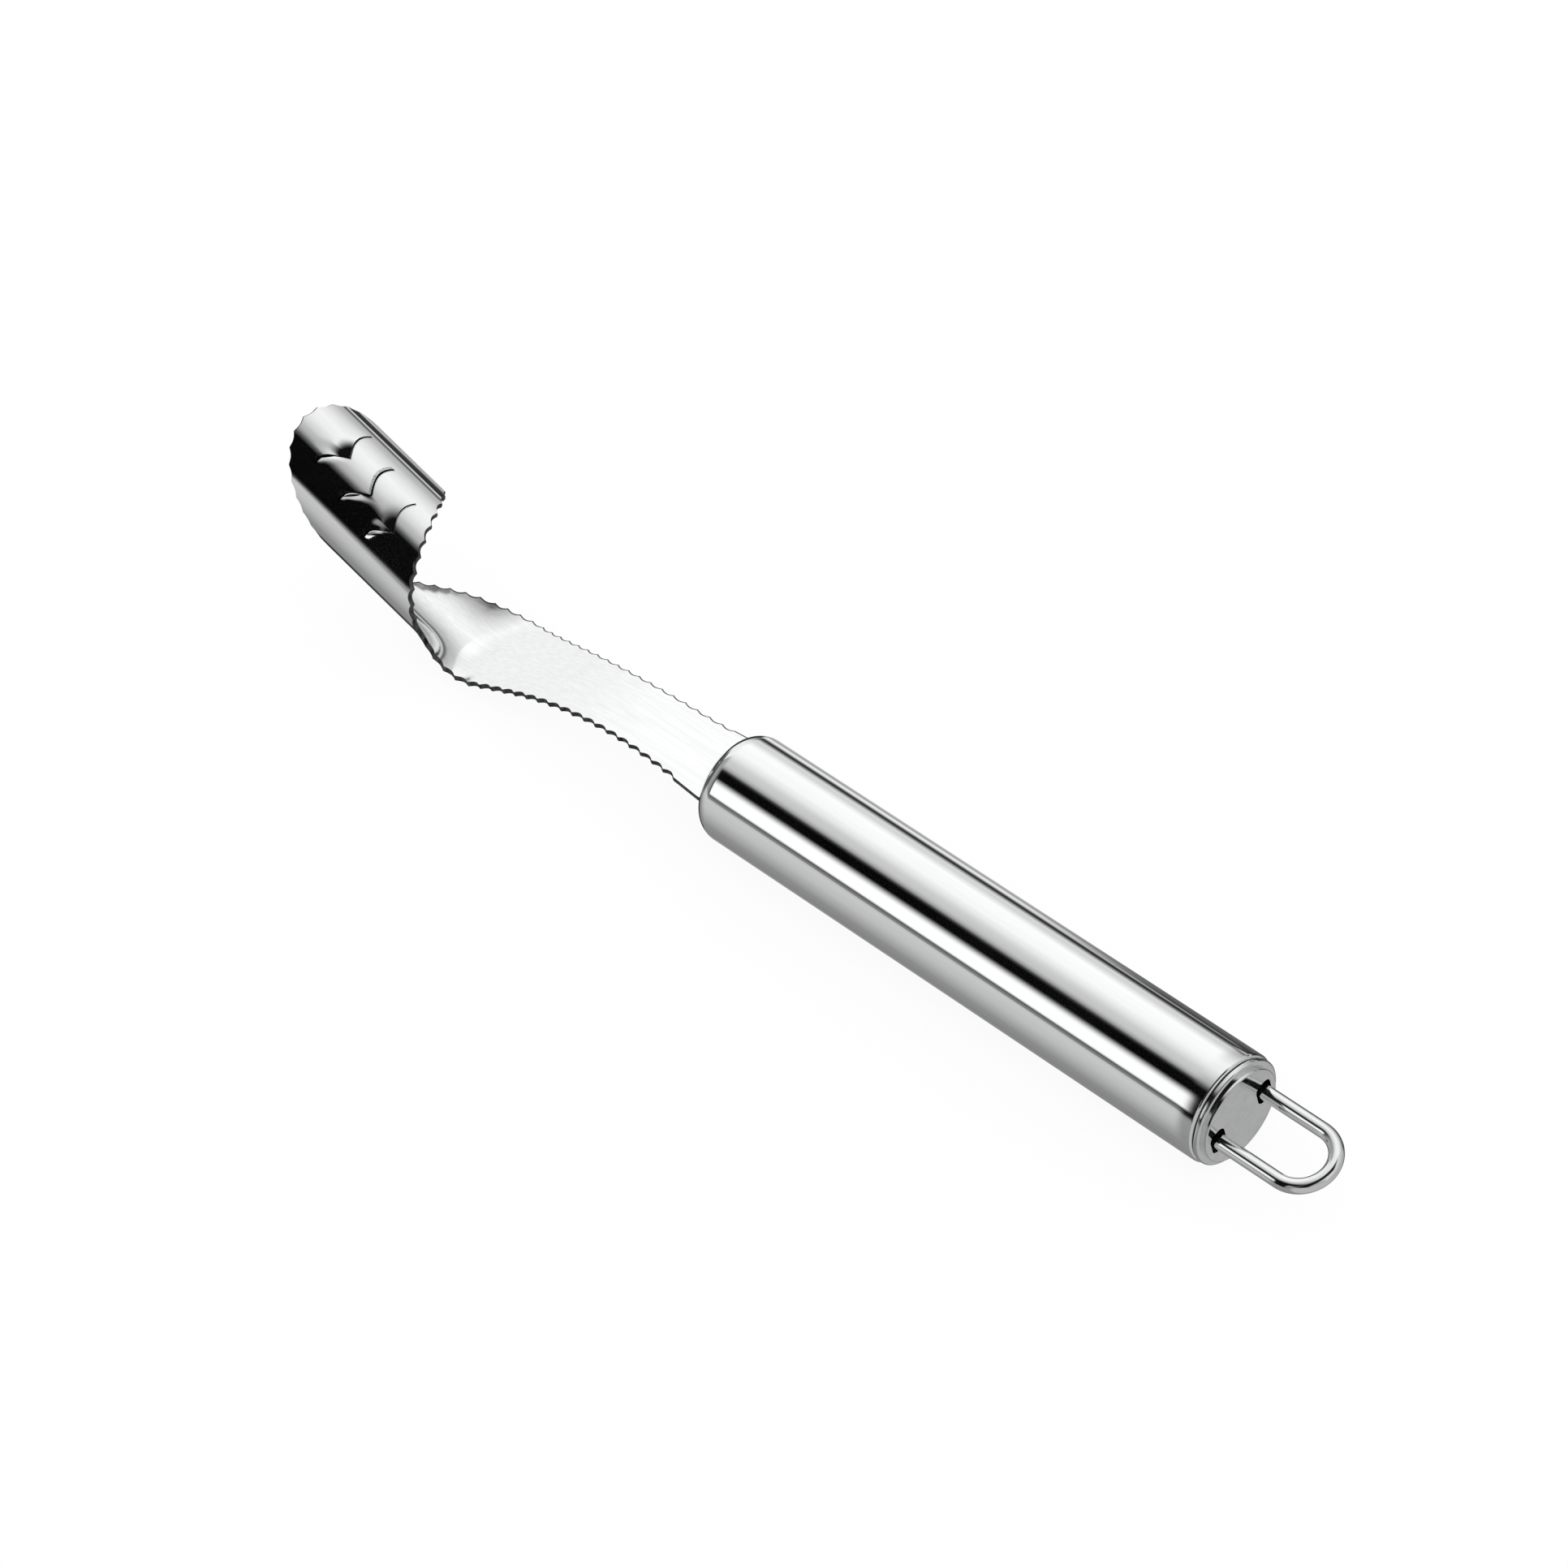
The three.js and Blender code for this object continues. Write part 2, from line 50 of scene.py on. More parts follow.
toolOrigin = Vector((
    handleHigh.x, (handleLow.y + handleHigh.y) / 2, (handleLow.z + handleHigh.z) / 2))
handleRadius = (handleHigh.z - handleLow.z) / 2 / mm


def lerp(a, b, share):
    return a + (b - a) * share


def smoothStep(value, low, high):
    share = min(1, max(0, (value - low) / (high - low)))
    return share * share * (3 - 2 * share)


def addNode(tree, kind, x, y, **settings):
    node = tree.nodes.new(kind)
    node.location = (x, y)
    for name, value in settings.items():
        setattr(node, name, value)
    return node


def grey(level):
    return (level, level, level, 1)


# Materials: steels that differ in polish, grain and tone; the cut-edge steel is painted near black
# as a painted shade
steelNoise = {"grainDetail": 4, "cloudDetail": 3, "span": (0.3, 0.7)}


def steelMaterial(name, look):
    material = bpy.data.materials.new(name)
    material.use_nodes = True
    tree = material.node_tree
    shader = tree.nodes["Principled BSDF"]
    shader.inputs["Metallic"].default_value = 1
    shader.inputs["Anisotropic"].default_value = look["anisotropy"]
    low, high = steelNoise["span"]
    place = addNode(tree, "ShaderNodeTexCoord", -1100, 0)

    # Fine grain, drawn out along the direction of polishing
    stretch = addNode(tree, "ShaderNodeMapping", -900, 0)
    stretch.inputs["Scale"].default_value = look["grainScale"]
    grain = addNode(tree, "ShaderNodeTexNoise", -700, 0)
    grain.inputs["Scale"].default_value = 1
    grain.inputs["Detail"].default_value = steelNoise["grainDetail"]
    tree.links.new(place.outputs["Object"], stretch.inputs["Vector"])
    tree.links.new(stretch.outputs["Vector"], grain.inputs["Vector"])

    # Broad faint clouds from handling and wiping
    clouds = addNode(tree, "ShaderNodeTexNoise", -700, -300)
    clouds.inputs["Scale"].default_value = look["cloudScale"]
    clouds.inputs["Detail"].default_value = steelNoise["cloudDetail"]
    tree.links.new(place.outputs["Object"], clouds.inputs["Vector"])

    tone = addNode(tree, "ShaderNodeValToRGB", -400, 200)
    tone.color_ramp.elements[0].position = low
    tone.color_ramp.elements[0].color = (*look["darkTone"], 1)
    tone.color_ramp.elements[1].position = high
    tone.color_ramp.elements[1].color = (*look["lightTone"], 1)
    tree.links.new(grain.outputs["Fac"], tone.inputs["Fac"])
    tree.links.new(tone.outputs["Color"], shader.inputs["Base Color"])

    gloss = addNode(tree, "ShaderNodeMapRange", -400, -150)
    gloss.inputs["From Min"].default_value = low
    gloss.inputs["From Max"].default_value = high
    gloss.inputs["To Min"].default_value = look["roughness"][0]
    gloss.inputs["To Max"].default_value = look["roughness"][1]
    tree.links.new(clouds.outputs["Fac"], gloss.inputs["Value"])
    tree.links.new(gloss.outputs["Result"], shader.inputs["Roughness"])

    relief = addNode(tree, "ShaderNodeBump", -400, -450)
    relief.inputs["Strength"].default_value = look["reliefStrength"]
    relief.inputs["Distance"].default_value = look["reliefDepth"] * mm
    tree.links.new(grain.outputs["Fac"], relief.inputs["Height"])
    tree.links.new(relief.outputs["Normal"], shader.inputs["Normal"])
    return material


polishedLook = {
    "darkTone": (0.86, 0.865, 0.87), "lightTone": (0.89, 0.893, 0.897),
    "roughness": (0.035, 0.075), "grainScale": (60, 1500, 1500), "cloudScale": 60,
    "anisotropy": 0.1, "reliefStrength": 0.04, "reliefDepth": 0.02,
}
satinLook = {
    "darkTone": (0.855, 0.859, 0.863), "lightTone": (0.945, 0.948, 0.951),
    "roughness": (0.09, 0.13), "grainScale": (70, 2200, 2200), "cloudScale": 45,
    "anisotropy": 0.25, "reliefStrength": 0.06, "reliefDepth": 0.03,
}
# Painted shade: cut walls and edge bevels are painted near black to stand for the shade and dark
# reflections along the edges
cutEdgeShadeLook = {
    "darkTone": (0.03, 0.03, 0.032), "lightTone": (0.16, 0.16, 0.165),
    "roughness": (0.28, 0.4), "grainScale": (1500, 1500, 300), "cloudScale": 500,
    "anisotropy": 0, "reliefStrength": 0.2, "reliefDepth": 0.05,
}
capLook = {
    "darkTone": (0.72, 0.724, 0.728), "lightTone": (0.79, 0.794, 0.798),
    "roughness": (0.07, 0.13), "grainScale": (900, 900, 900), "cloudScale": 260,
    "anisotropy": 0, "reliefStrength": 0.08, "reliefDepth": 0.02,
}
wireLook = {
    "darkTone": (0.84, 0.845, 0.85), "lightTone": (0.88, 0.883, 0.887),
    "roughness": (0.05, 0.1), "grainScale": (90, 1200, 1200), "cloudScale": 150,
    "anisotropy": 0, "reliefStrength": 0.05, "reliefDepth": 0.02,
}
plugLook = {
    "darkTone": (0.5, 0.505, 0.51), "lightTone": (0.6, 0.605, 0.61),
    "roughness": (0.35, 0.5), "grainScale": (1200, 300, 300), "cloudScale": 200,
    "anisotropy": 0, "reliefStrength": 0.2, "reliefDepth": 0.05,
}
polishedSteel = steelMaterial("polishedSteel", polishedLook)
satinSteel = steelMaterial("satinSteel", satinLook)
cutEdgeShadeSteel = steelMaterial("cutEdgeShadeSteel", cutEdgeShadeLook)
capSteel = steelMaterial("capSteel", capLook)
wireSteel = steelMaterial("wireSteel", wireLook)
plugSteel = steelMaterial("plugSteel", plugLook)
print("made the steels")


# Turns drawn points and faces into a piece, before it is seated on its body
def makePiece(name, points, faces, materials, faceMaterials=None):
    mesh = bpy.data.meshes.new(name)
    mesh.from_pydata([toolOrigin + Vector(point) * mm for point in points], [], faces)
    for material in materials:
        mesh.materials.append(material)
    if faceMaterials:
        mesh.polygons.foreach_set("material_index", faceMaterials)
    shape = bmesh.new()
    shape.from_mesh(mesh)
    bmesh.ops.recalc_face_normals(shape, faces=shape.faces)
    shape.to_mesh(mesh)
    shape.free()
    piece = bpy.data.objects.new(name, mesh)
    bpy.context.scene.collection.objects.link(piece)
    return piece


def smoothShade(piece, sharpAngle):
    piece.data.shade_smooth()
    piece.data.set_sharp_from_angle(angle=sharpAngle * degree)


def creaseBetweenMaterials(piece):
    shape = bmesh.new()
    shape.from_mesh(piece.data)
    for edge in shape.edges:
        if len({face.material_index for face in edge.link_faces}) > 1:
            edge.smooth = False
    shape.to_mesh(piece.data)
    shape.free()


def seat(piece, body, node):
    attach(piece, body)
    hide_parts(node)


# A profile of (x, radius) points turned round the handle's axis
def turned(profile, sides):
    points, faces, rings = [], [], []
    for x, radius in profile:
        start = len(points)
        if radius < tiny:
            points.append((x, 0, 0))
            rings.append([start] * sides)
            continue
        for i in range(sides):
            angle = 2 * math.pi * i / sides
            points.append((x, radius * math.cos(angle), radius * math.sin(angle)))
        rings.append(list(range(start, start + sides)))
    for first, second in zip(rings, rings[1:]):
        for i in range(sides):
            j = (i + 1) % sides
            corners = [first[i], first[j], second[j], second[i]]
            faces.append(list(dict.fromkeys(corners)))
    return points, faces


def roundedCorner(centreX, centreRadius, radius, fromAngle, toAngle, steps):
    corner = []
    for i in range(steps + 1):
        angle = lerp(fromAngle, toAngle, i / steps) * degree
        corner.append((centreX + radius * math.sin(angle), centreRadius + radius * math.cos(angle)))
    return corner


cornerSteps = 8


# A slot's outline, its corners rounded, pushed along X to its length
def slotShape(centre, size, corner):
    shape = bmesh.new()
    length, wide, high = size[0], size[1] / 2 - corner, size[2] / 2 - corner
    ring = []
    for turn, (y, z) in enumerate([(wide, high), (-wide, high), (-wide, -high), (wide, -high)]):
        for i in range(cornerSteps + 1 if corner else 1):
            angle = (turn + i / cornerSteps) * 90 * degree
            y1, z1 = y + corner * math.cos(angle), z + corner * math.sin(angle)
            ring.append(Vector((-length / 2, y1, z1)))
    face = shape.faces.new([shape.verts.new((Vector(centre) + point) * mm) for point in ring])
    pushed = bmesh.ops.extrude_face_region(shape, geom=[face])["geom"]
    farEnd = [item for item in pushed if isinstance(item, bmesh.types.BMVert)]
    bmesh.ops.translate(shape, vec=Vector((length, 0, 0)) * mm, verts=farEnd)
    bmesh.ops.recalc_face_normals(shape, faces=shape.faces)
    return shape


# Cuts slots along X out of a piece; each slot is (centre, size, corner radius, roll about X)
def cutSlots(piece, slots):
    cutters = []
    for centre, size, corner, roll in slots:
        shape = slotShape(centre, size, corner)
        turnOver = Matrix.Rotation(roll * degree, 3, "X")
        bmesh.ops.rotate(shape, cent=(0, 0, 0), matrix=turnOver, verts=shape.verts)
        bmesh.ops.translate(shape, vec=toolOrigin, verts=shape.verts)
        mesh = bpy.data.meshes.new("cutter")
        shape.to_mesh(mesh)
        shape.free()
        cutter = bpy.data.objects.new("cutter", mesh)
        bpy.context.scene.collection.objects.link(cutter)
        cut = piece.modifiers.new("slot", "BOOLEAN")
        cut.operation = "DIFFERENCE"
        cut.solver = "EXACT"
        cut.object = cutter
        cutters.append(cutter)
    bpy.context.view_layer.update()
    seen = piece.evaluated_get(bpy.context.evaluated_depsgraph_get())
    whole = bpy.data.meshes.new_from_object(seen)
    piece.modifiers.clear()
    piece.data = whole
    for cutter in cutters:
        bpy.data.objects.remove(cutter)


# The blade's sheet, as a flat blank with s along it and t across it, bent and rolled by formula.
# Pairs from rearRoot to leafTip are a place along the head and an angle round it
blade = {
    "thickness": 0.899, "rise": 1.6, "tangLength": 26, "tangWidth": 11,
    "shoulderStart": -3.3, "shoulderLength": 1,
    "waistWidth": 12, "waistPlace": 22, "edgeRadius": 213, "plainLength": 5.8,
    "straightLength": 14, "bowLength": 30, "bowAngle": 18, "dropLength": 13, "bendLength": 8,
    "headPitch": 18.6, "headDiameter": 20.2,
    "rollLead": 12.6, "rollLength": 16, "farCurl": 0.75, "leafLead": 11,
    "rearRoot": (2.6, 76), "rearCrest": (15.2, 223),
    "frontRoot": (12, 0), "frontShoulder": (30.9, 93), "frontPeak": (39.8, 171),
    "leafTip": (23.3, 272), "leafTipWidth": 3.5, "tipSweep": (-1, 0.6),
    "toothPitch": 2.75, "toothDepth": 0.55, "farToothDepth": 0.4,
    "nearBreak": 0.14, "leafBreak": 0.26, "farBreak": 0.26,
    "edgeInside": 0.87, "edgeOutside": 0.2, "border": 0.03, "sharpAngle": 40,
    "rowStep": 0.7, "stripRows": 220, "leafRootRows": 260, "leafRows": 260,
    "bandColumns": 16, "columnCrowding": 0.6, "stripSteps": 120, "leafSteps": 240,
}
slitTeeth = {
    "count": 3, "place": 29, "angle": 167, "step": 7.4, "turn": 11, "kerf": 0.64, "shear": 0.37,
    "shortLeg": 4.4, "shortRise": 3.9, "shortBend": 0.75,
    "longLeg": 6, "longRise": 2, "longBend": 0.64,
    "pocketDepth": 1.05, "pocketReach": 4.5, "pocketSpans": (2.6, 6.5),
    "lipDepth": 0.5, "lipReach": 1.5, "broadLipDepth": 0.9, "broadLipReach": 2.4,
    "gatherFrom": 0.35, "spreadLength": 6,
}
rollRadius = (blade["headDiameter"] - blade["thickness"]) / 2
spine = [
    (blade["straightLength"], 0),
    (blade["bowLength"], -blade["bowAngle"] * degree),
    (blade["dropLength"], 0),
    (blade["bendLength"], (blade["bowAngle"] + blade["headPitch"]) * degree),
]
headOn = (1000, 0)  # the head runs straight on
headStart = sum(length for length, turn in spine)
leafStart = headStart - blade["leafLead"]


def spinePose(s):
    x, z, pitch, left = 0, blade["rise"], 0, s
    for length, turn in spine + [headOn]:
        part = min(left, length)
        bend = turn * part / length
        chord = part if abs(bend) < tiny else 2 * part * math.sin(bend / 2) / bend
        x += chord * math.cos(pitch + bend / 2)
        z += chord * math.sin(pitch + bend / 2)
        pitch += bend
        left -= part
        if left <= 0:
            break
    return x, z, pitch


def rolled(s, t):
    x, z, pitch = spinePose(s)
    rollStart = headStart - blade["rollLead"]
    curl = smoothStep(s, rollStart, rollStart + blade["rollLength"]) / rollRadius
    curl *= 1 if t > 0 else blade["farCurl"]
    angle = curl * t
    across = t if curl < tiny else math.sin(angle) / curl
    lift = 0 if curl < tiny else (1 - math.cos(angle)) / curl
    up = Vector((-math.sin(pitch), 0, math.cos(pitch)))
    inward = up * math.cos(angle) - Vector((0, math.sin(angle), 0))
    return Vector((x, across, z)) + up * lift, inward


def stripHalf(s):
    return blade["waistWidth"] / 2 + (s - blade["waistPlace"]) ** 2 / (2 * blade["edgeRadius"])


searchSteps, crossingSteps, slopeSpan = 40, 12, 0.002


# An edge of the blank: points close together, looked up by their share of its length
class EdgeLine:
    def __init__(self, points):
        self.points = points
        self.lengths = [0]
        for a, b in zip(points, points[1:]):
            self.lengths.append(self.lengths[-1] + (b - a).length)
        self.teeth = max(1, round(self.lengths[-1] / blade["toothPitch"]))

    def at(self, share):
        goal = share * self.lengths[-1]
        low, high = 0, len(self.points) - 1
        while high - low > 1:
            half = (low + high) // 2
            low, high = (half, high) if self.lengths[half] <= goal else (low, half)
        span = self.lengths[high] - self.lengths[low]
        return self.points[low].lerp(self.points[high], (goal - self.lengths[low]) / span)

    def shareAround(self, t):
        low, high = 0, 1
        for i in range(searchSteps):
            half = (low + high) / 2
            low, high = (half, high) if self.at(half).y < t else (low, half)
        return high

    # The toothed edge stands out from the line: pointed tips with round hollows between them
    def tooth(self, share, side):
        before, after = self.at(max(0, share - slopeSpan)), self.at(min(1, share + slopeSpan))
        along = after - before
        outward = Vector((-along.y, along.x)).normalized() * side
        depth = blade["toothDepth"] if side > 0 else blade["farToothDepth"]
        stand = blade["toothDepth"] - depth * math.sin(math.pi * ((share * self.teeth) % 1))
        return self.at(share) + outward * stand


def bezier(points, start, leaving, end, arriving):
    steps = blade["leafSteps"]
    pull = (end - start).length / 3
    first = start + leaving.normalized() * pull
    second = end - arriving.normalized() * pull
    for i in range(1, steps + 1):
        u = i / steps
        v = 1 - u
        points.append(start * v ** 3 + first * 3 * u * v * v
                      + second * 3 * u * u * v + end * u ** 3)


def onBlank(placeAndAngle):
    place, angle = placeAndAngle
    return Vector((headStart + place, angle * degree * rollRadius))


def stripLine(side):
    steps = blade["stripSteps"]
    line = []
    for i in range(steps + 1):
        s = lerp(blade["plainLength"], leafStart, i / steps)
        line.append(Vector((s, side * stripHalf(s))))
    return EdgeLine(line)


def leafLine(side):
    slope = (leafStart - blade["waistPlace"]) / blade["edgeRadius"]
    start = Vector((leafStart, side * stripHalf(leafStart)))
    leaving = Vector((1, side * slope))
    tip = onBlank(blade["leafTip"])
    line = [start]
    if side > 0:  # the rear edge carries on from the strip's near edge
        root, crest = onBlank(blade["rearRoot"]), onBlank(blade["rearCrest"])
        sweep = crest - root
        bezier(line, start, leaving, root, sweep)
        bezier(line, root, sweep, crest, sweep)
        bezier(line, crest, sweep, tip - Vector((blade["leafTipWidth"] / 2, 0)), sweep)
        return EdgeLine(line)
    corners = ("frontRoot", "frontShoulder", "frontPeak")
    root, shoulder, peak = (onBlank(blade[key]) for key in corners)
    sweep = shoulder - root
    end = tip + Vector((blade["leafTipWidth"] / 2, 0))
    bezier(line, start, leaving, root, sweep)
    steps = blade["leafSteps"]
    line += [root.lerp(shoulder, i / steps) for i in range(1, steps + 1)]
    bezier(line, shoulder, sweep, peak, Vector((0, 1)))
    bezier(line, peak, Vector((0, 1)), end, Vector(blade["tipSweep"]))
    return EdgeLine(line)


nearStrip, farStrip = stripLine(1), stripLine(-1)
nearLeaf, farLeaf = leafLine(1), leafLine(-1)

slits = []
for k in range(slitTeeth["count"]):
    fromTip = slitTeeth["count"] - 1 - k
    slits.append({
        "s": headStart + slitTeeth["place"] - slitTeeth["step"] * fromTip,
        "t": (slitTeeth["angle"] - slitTeeth["turn"] * fromTip) * degree * rollRadius,
        "turnedIn": fromTip % 2 == 0,
    })
slitFrom = min(slit["t"] for slit in slits) - slitTeeth["shortLeg"] - blade["toothPitch"] / 2
slitTo = max(slit["t"] for slit in slits) + slitTeeth["longLeg"] + blade["toothPitch"] / 2


def slitRise(around):
    if around < 0:
        bend = min(1, -around / (slitTeeth["shortBend"] * slitTeeth["shortLeg"]))
        return slitTeeth["shortRise"] * math.sin(math.pi / 2 * bend)
    bend = around / (slitTeeth["longBend"] * slitTeeth["longLeg"])
    return slitTeeth["longRise"] * math.sin(math.pi / 2 * bend)


def slitCrossing(slit, near, far):
    share, around = 0.5, 0
    for i in range(crossingSteps):
        around = lerp(near.y, far.y, share) - slit["t"]
        along = slitRise(min(slitTeeth["longLeg"], max(-slitTeeth["shortLeg"], around)))
        share = (slit["s"] + along - near.x) / (far.x - near.x)
    return share, around


def insideSlit(around):
    return -slitTeeth["shortLeg"] < around < slitTeeth["longLeg"]


# Behind its short leg a slit's metal is pressed in to a lip, and ahead of every other slit there
# is a pocket; a press is its depth at the slit and how far it reaches from there
def slitPress(slit, around, forwardSide):
    if forwardSide:
        span = slitTeeth["pocketSpans"][0 if around < 0 else 1]
        pocket = max(0, 1 - abs(around) / span) ** 2 if slit["turnedIn"] else 0
        return slitTeeth["pocketDepth"] * pocket, slitTeeth["pocketReach"]
    lip = math.sin(math.pi * -around / slitTeeth["shortLeg"]) ** 2 if around < 0 else 0
    if slit["turnedIn"]:
        return slitTeeth["lipDepth"] * lip, slitTeeth["lipReach"]
    return slitTeeth["broadLipDepth"] * lip, slitTeeth["broadLipReach"]


def pressed(press, distance):
    depth, reach = press
    return -depth * max(0, 1 - distance / reach) ** 2


# Cut faces take the steel that is painted near black, a painted shade on the walls and edge bevels
innerFace, outerFace, shadedCutFace = range(3)  # in the order of the blade's steels


class Sheet:
    def __init__(self):
        self.points, self.inwards, self.shares, self.shears = [], [], [], []
        self.faces, self.breaks, self.rows = [], [], []

    # A point of the sheet, with its lift, its shares of the thickness inside and outside, and how
    # far its outside leads its inside
    def add(self, place, lift=0, shares=(1, 1), shear=0):
        point, inward = rolled(place.x, place.y)
        pitch = spinePose(place.x)[2]
        self.points.append(point - inward * lift)
        self.inwards.append(inward)
        self.shares.append(shares)
        self.shears.append(Vector((math.cos(pitch), 0, math.sin(pitch))) * shear)
        return len(self.points) - 1

    # The outermost strip of an edge, ground thin from the outside and just broken on the inside
    def addEdge(self, edge, inside, width):
        broken = edge + (inside - edge).normalized() * width
        return [self.add(edge, 0, (blade["edgeInside"], blade["edgeOutside"])), self.add(broken)]

    # A row from the near edge to the far edge, in bands between the slits; a crossing is its share
    # of the row, how far round its slit it is, and the slit or none
    def addRow(self, near, far, nearEdge, farEdge, crossings, nearBreak=blade["nearBreak"]):
        length = abs(far.x - near.x)
        border, columns = blade["border"], blade["bandColumns"]
        row = [self.addEdge(nearEdge, near.lerp(far, border), nearBreak)]
        flat = (0, 1)
        startShare, startPress = border, flat
        startId = self.add(near.lerp(far, border))
        for share, around, slit in crossings + [(1 - border, 0, None)]:
            cut = slit is not None and insideSlit(around)
            halfKerf = slitTeeth["kerf"] / 2 / length if cut else 0
            endPress = slitPress(slit, around, False) if cut else flat
            band = [startId]
            for j in range(1, columns):
                wave = math.sin(2 * math.pi * j / columns) / (2 * math.pi)
                at = lerp(startShare, share, j / columns - blade["columnCrowding"] * wave)
                lift = pressed(startPress, (at - startShare) * length)
                lift += pressed(endPress, (share - at) * length)
                band.append(self.add(near.lerp(far, at), lift))
            endId = self.add(near.lerp(far, share - halfKerf), pressed(endPress, 0))
            band.append(endId)
            row.append(band)
            startShare, startId, startPress = share, endId, flat
            if cut:
                startPress = slitPress(slit, around, True)
                ahead = near.lerp(far, share + halfKerf)
                startId = self.add(ahead, pressed(startPress, 0), shear=slitTeeth["shear"])
        lastEdge = self.addEdge(farEdge, near.lerp(far, 1 - border), blade["farBreak"])
        row.append(lastEdge[::-1])
        self.rows.append(row)

    def fill(self):
        for before, after in zip(self.rows, self.rows[1:]):
            self.stitch(before[0], after[0], True)
            self.stitch([before[0][1], before[1][0]], [after[0][1], after[1][0]])
            for first, second in zip(before[1:-1], after[1:-1]):
                self.stitch(first, second)
            self.stitch([before[-2][-1], before[-1][0]], [after[-2][-1], after[-1][0]])
            self.stitch(before[-1], after[-1], True)

    def stitch(self, first, second, broken=False):
        for j in range(len(first) - 1):
            self.faces.append((first[j], second[j], second[j + 1], first[j + 1]))
            self.breaks.append(broken)

    # Both faces of the sheet and a wall round every free edge, with the kind of each face
    def thicken(self, thickness):
        count, half = len(self.points), thickness / 2
        inner, outer = [], []
        layers = zip(self.points, self.inwards, self.shares, self.shears)
        for point, inward, (inside, outside), shear in layers:
            inner.append(point + inward * (half * inside) - shear)
            outer.append(point - inward * (half * outside) + shear)
        edges = set()
        for face in self.faces:
            edges.update(zip(face, face[1:] + face[:1]))
        faces = list(self.faces)
        faces += [tuple(count + corner for corner in reversed(face)) for face in self.faces]
        walls = [(b, a, count + a, count + b) for a, b in edges if (b, a) not in edges]
        # Broken edge strips and walls take the near-black steel, a painted shade rather than the
        # steel's own colour
        kinds = [shadedCutFace if broken else innerFace for broken in self.breaks]
        kinds += [shadedCutFace if broken else outerFace for broken in self.breaks]
        kinds += [shadedCutFace] * len(walls)
        return inner + outer, faces + walls, kinds


def evenShares():
    low, high, bands = blade["border"], 1 - blade["border"], len(slits) + 1
    return [lerp(low, high, (k + 1) / bands) for k in range(len(slits))]


# Crossings with no slit in them, part of the way from one spacing to another
def uncut(fromShares, toShares, way):
    return [(lerp(a, b, way), 0, None) for a, b in zip(fromShares, toShares)]


def addPlainRows(sheet, crossings):
    tangHalf = blade["tangWidth"] / 2
    mouthHalf = stripHalf(0) + blade["toothDepth"]
    toothedHalf = stripHalf(blade["plainLength"]) + blade["toothDepth"]
    shoulderEnd = blade["shoulderStart"] + blade["shoulderLength"]
    outline = [(-blade["tangLength"], tangHalf), (blade["shoulderStart"], tangHalf),
               (shoulderEnd, mouthHalf), (0, mouthHalf), (blade["plainLength"], toothedHalf)]
    for (s0, half0), (s1, half1) in zip(outline, outline[1:]):
        steps = max(2, round((s1 - s0) / blade["rowStep"]))
        for i in range(steps):
            s, half = lerp(s0, s1, i / steps), lerp(half0, half1, i / steps)
            root = half - blade["toothDepth"]
            sheet.addRow(Vector((s, root)), Vector((s, -root)),
                         Vector((s, half)), Vector((s, -half)), crossings)


def addStripRows(sheet, crossings):
    for i in range(blade["stripRows"]):
        share = i / blade["stripRows"]
        sheet.addRow(nearStrip.at(share), farStrip.at(share),
                     nearStrip.tooth(share, 1), farStrip.tooth(share, -1), crossings)


# Up the leaf the rows gather to the slits, run through them and spread out again
def addLeafRows(sheet):
    even = evenShares()
    nearLevel, farLevel = nearLeaf.shareAround(slitFrom), farLeaf.shareAround(slitFrom)
    firstNear, firstFar = nearLeaf.at(nearLevel), farLeaf.at(farLevel)
    firstShares = [slitCrossing(slit, firstNear, firstFar)[0] for slit in slits]
    for i in range(blade["leafRootRows"]):
        share = i / blade["leafRootRows"]
        nearShare, farShare = share * nearLevel, share * farLevel
        crossings = uncut(even, firstShares, smoothStep(share, slitTeeth["gatherFrom"], 1))
        sheet.addRow(nearLeaf.at(nearShare), farLeaf.at(farShare),
                     nearLeaf.tooth(nearShare, 1), farLeaf.tooth(farShare, -1), crossings,
                     lerp(blade["nearBreak"], blade["leafBreak"], share))
    lastShares = firstShares
    for i in range(blade["leafRows"] + 1):
        nearShare = lerp(nearLevel, 1, i / blade["leafRows"])
        near = nearLeaf.at(nearShare)
        farShare = 1 if i == blade["leafRows"] else farLeaf.shareAround(near.y)
        far = farLeaf.at(farShare)
        if near.y < slitTo:
            crossings = [(*slitCrossing(slit, near, far), slit) for slit in slits]
            lastShares = [crossing[0] for crossing in crossings]
        else:
            spread = smoothStep(near.y, slitTo, slitTo + slitTeeth["spreadLength"])
            crossings = uncut(lastShares, even, spread)
        sheet.addRow(near, far, nearLeaf.tooth(nearShare, 1), farLeaf.tooth(farShare, -1),
                     crossings, blade["leafBreak"])


def buildBlade():
    sheet = Sheet()
    plain = uncut(evenShares(), evenShares(), 0)
    addPlainRows(sheet, plain)
    addStripRows(sheet, plain)
    addLeafRows(sheet)
    sheet.fill()
    points, faces, kinds = sheet.thicken(blade["thickness"])
    # The third steel is painted near black, a painted shade on the cut walls and edge bevels
    steels = [satinSteel, polishedSteel, cutEdgeShadeSteel]
    piece = makePiece("corerBlade", points, faces, steels, kinds)
    smoothShade(piece, blade["sharpAngle"])
    creaseBetweenMaterials(piece)
    seat(piece, "tool", "blade")
    print("rolled the blade:", len(sheet.rows), "rows,", len(faces), "faces")


# The handle: a drawn tube with a rounded, slotted front and an open rear
handle = {
    "length": 106.1, "wall": 1, "frontWall": 1.6, "frontRounding": 3.6, "rimRounding": 0.7,
    "slotClearance": 0.3, "sides": 192, "frontRings": (2, 4), "bodyRings": 30,
    "frontSteps": 24, "rimSteps": 10, "boreSteps": 8, "sharpAngle": 35,
}


